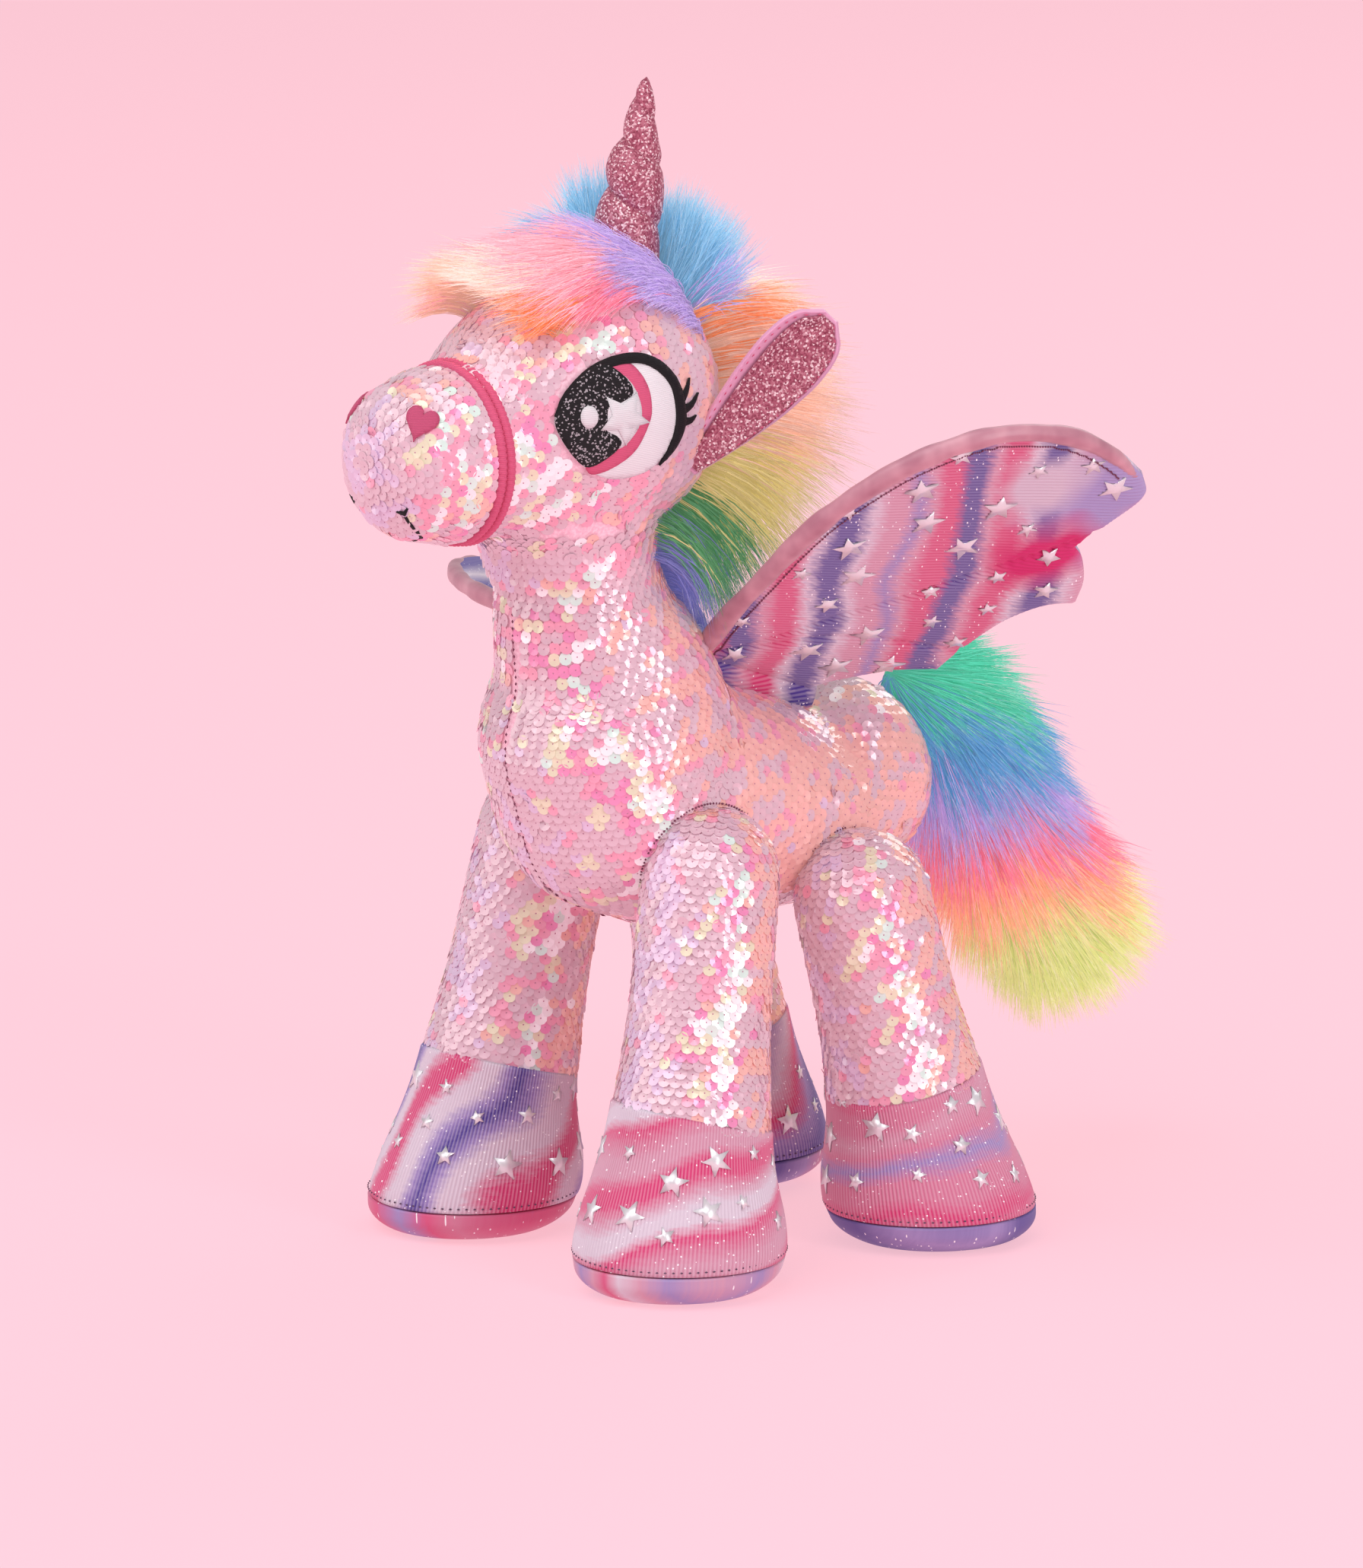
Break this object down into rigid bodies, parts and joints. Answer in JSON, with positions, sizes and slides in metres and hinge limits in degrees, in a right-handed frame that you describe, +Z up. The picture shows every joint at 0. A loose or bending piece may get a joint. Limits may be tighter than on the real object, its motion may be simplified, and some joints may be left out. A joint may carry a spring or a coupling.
{
  "type": "plush winged unicorn",
  "caption": "Standing stuffed winged unicorn with sequin skin, printed hooves and bat-like wings, twisted horn, fur mane and tail, with jointed head, ears, wings, tail and legs.",
  "frame": {"origin": "bottom centre of the bounding box of the whole toy, on the ground plane under its hooves", "axes": "+Z up, -Y the way the toy faces, +X its left side"},
  "size_m": [0.3392, 0.3572, 0.436],
  "materials": {
    "sequin_fabric": "iridescent pale pink flip sequins, shiny",
    "printed_fabric": "ribbed knit with a pink, purple and white print and silver foil stars, satin",
    "satin": "dusty pink satin, semi-gloss",
    "glitter_fabric": "dusty rose glitter fabric, sparkling",
    "stuffing": "white polyester fibre, matt",
    "eye_embroidery": "white, black and pink embroidery, matt",
    "hot_pink_trim": "hot pink satin cord and embroidery, satin",
    "black_thread": "black embroidery thread, matt",
    "fur_peach": "long pile fur, matt",
    "fur_orange": "long pile fur, matt",
    "fur_blue": "long pile fur, matt",
    "fur_lilac": "long pile fur, matt"
  },
  "bodies": {
    "torso": {"torso_side_left": "sequin_fabric", "torso_side_right": "sequin_fabric", "torso_stuffing": "stuffing", "mane_lower_fur": "fur_blue"},
    "neck_core": {"neck_plug": "stuffing"},
    "head": {"head_side_left": "sequin_fabric", "head_side_right": "sequin_fabric", "head_stuffing": "stuffing", "muzzle_skin": "sequin_fabric", "muzzle_stuffing": "stuffing", "noseband": "hot_pink_trim", "eye_left": "eye_embroidery", "eye_right": "eye_embroidery", "nostril_left": "hot_pink_trim", "nostril_right": "hot_pink_trim", "mouth_stitching": "black_thread", "forelock_fur": "fur_peach", "mane_upper_fur": "fur_orange"},
    "ear_left": {"ear_back_left": "sequin_fabric", "ear_lining_left": "glitter_fabric"},
    "ear_right": {"ear_back_right": "sequin_fabric", "ear_lining_right": "glitter_fabric"},
    "horn": {"horn_skin": "glitter_fabric", "horn_thread": "glitter_fabric", "horn_stuffing": "stuffing"},
    "wing_left": {"wing_print_left": "printed_fabric", "wing_batting_left": "stuffing", "wing_satin_left": "satin", "wing_edge_left": "satin"},
    "wing_right": {"wing_print_right": "printed_fabric", "wing_batting_right": "stuffing", "wing_satin_right": "satin", "wing_edge_right": "satin"},
    "tail_tab": {"tail_tab": "sequin_fabric"},
    "tail": {"tail_fur": "fur_lilac"},
    "leg_front_left": {"sole_front_left": "printed_fabric", "hoof_front_left": "printed_fabric", "leg_skin_front_left": "sequin_fabric", "leg_stuffing_front_left": "stuffing"},
    "leg_front_right": {"sole_front_right": "printed_fabric", "hoof_front_right": "printed_fabric", "leg_skin_front_right": "sequin_fabric", "leg_stuffing_front_right": "stuffing"},
    "leg_hind_left": {"sole_hind_left": "printed_fabric", "hoof_hind_left": "printed_fabric", "leg_skin_hind_left": "sequin_fabric", "leg_stuffing_hind_left": "stuffing"},
    "leg_hind_right": {"sole_hind_right": "printed_fabric", "hoof_hind_right": "printed_fabric", "leg_skin_hind_right": "sequin_fabric", "leg_stuffing_hind_right": "stuffing"}
  },
  "joints": [
    {"name": "head_nod", "type": "hinge", "parent": "torso", "child": "neck_core", "pos_m": [0.01579, -0.07756, 0.274], "axis": [1, 0, 0], "range_deg": [-10, 10], "stiffness_Nm_per_rad": 2},
    {"name": "head_turn", "type": "hinge", "parent": "neck_core", "child": "head", "pos_m": [0.01579, -0.07756, 0.274], "axis": [0, 0, 1], "range_deg": [-18, 18], "stiffness_Nm_per_rad": 1.5},
    {"name": "ear_left_flop", "type": "hinge", "parent": "head", "child": "ear_left", "pos_m": [0.05379, -0.05756, 0.298], "axis": [0.4538, 0.5494, -0.7016], "range_deg": [-15, 15], "stiffness_Nm_per_rad": 0.05},
    {"name": "ear_right_flop", "type": "hinge", "parent": "head", "child": "ear_right", "pos_m": [-0.02221, -0.05756, 0.298], "axis": [-0.4538, 0.5494, -0.7016], "range_deg": [-15, 15], "stiffness_Nm_per_rad": 0.05},
    {"name": "horn_wobble", "type": "hinge", "parent": "head", "child": "horn", "pos_m": [0.01579, -0.05756, 0.364], "axis": [1, 0, 0], "range_deg": [-10, 10], "stiffness_Nm_per_rad": 0.08},
    {"name": "wing_left_flap", "type": "hinge", "parent": "torso", "child": "wing_left", "pos_m": [0.02779, -0.03556, 0.221], "axis": [0, -0.9588, 0.2842], "range_deg": [-18, 18], "stiffness_Nm_per_rad": 0.35},
    {"name": "wing_right_flap", "type": "hinge", "parent": "torso", "child": "wing_right", "pos_m": [0.00379, -0.03556, 0.221], "axis": [0, 0.9588, -0.2842], "range_deg": [-18, 18], "stiffness_Nm_per_rad": 0.35},
    {"name": "tail_lift", "type": "hinge", "parent": "torso", "child": "tail_tab", "pos_m": [0.01579, 0.07844, 0.19], "axis": [1, 0, 0], "range_deg": [-8, 40], "stiffness_Nm_per_rad": 0.4},
    {"name": "tail_swing", "type": "hinge", "parent": "tail_tab", "child": "tail", "pos_m": [0.01579, 0.07844, 0.19], "axis": [0, 0, 1], "range_deg": [-30, 30], "stiffness_Nm_per_rad": 0.3},
    {"name": "leg_front_left_swing", "type": "hinge", "parent": "torso", "child": "leg_front_left", "pos_m": [0.06387, -0.05542, 0.148], "axis": [1, 0, 0], "range_deg": [-12, 12], "stiffness_Nm_per_rad": 4},
    {"name": "leg_front_right_swing", "type": "hinge", "parent": "torso", "child": "leg_front_right", "pos_m": [-0.0323, -0.05542, 0.148], "axis": [1, 0, 0], "range_deg": [-12, 12], "stiffness_Nm_per_rad": 4},
    {"name": "leg_hind_left_swing", "type": "hinge", "parent": "torso", "child": "leg_hind_left", "pos_m": [0.06557, 0.01464, 0.13], "axis": [1, 0, 0], "range_deg": [-12, 12], "stiffness_Nm_per_rad": 4},
    {"name": "leg_hind_right_swing", "type": "hinge", "parent": "torso", "child": "leg_hind_right", "pos_m": [-0.03399, 0.01464, 0.13], "axis": [1, 0, 0], "range_deg": [-12, 12], "stiffness_Nm_per_rad": 4}
  ]
}
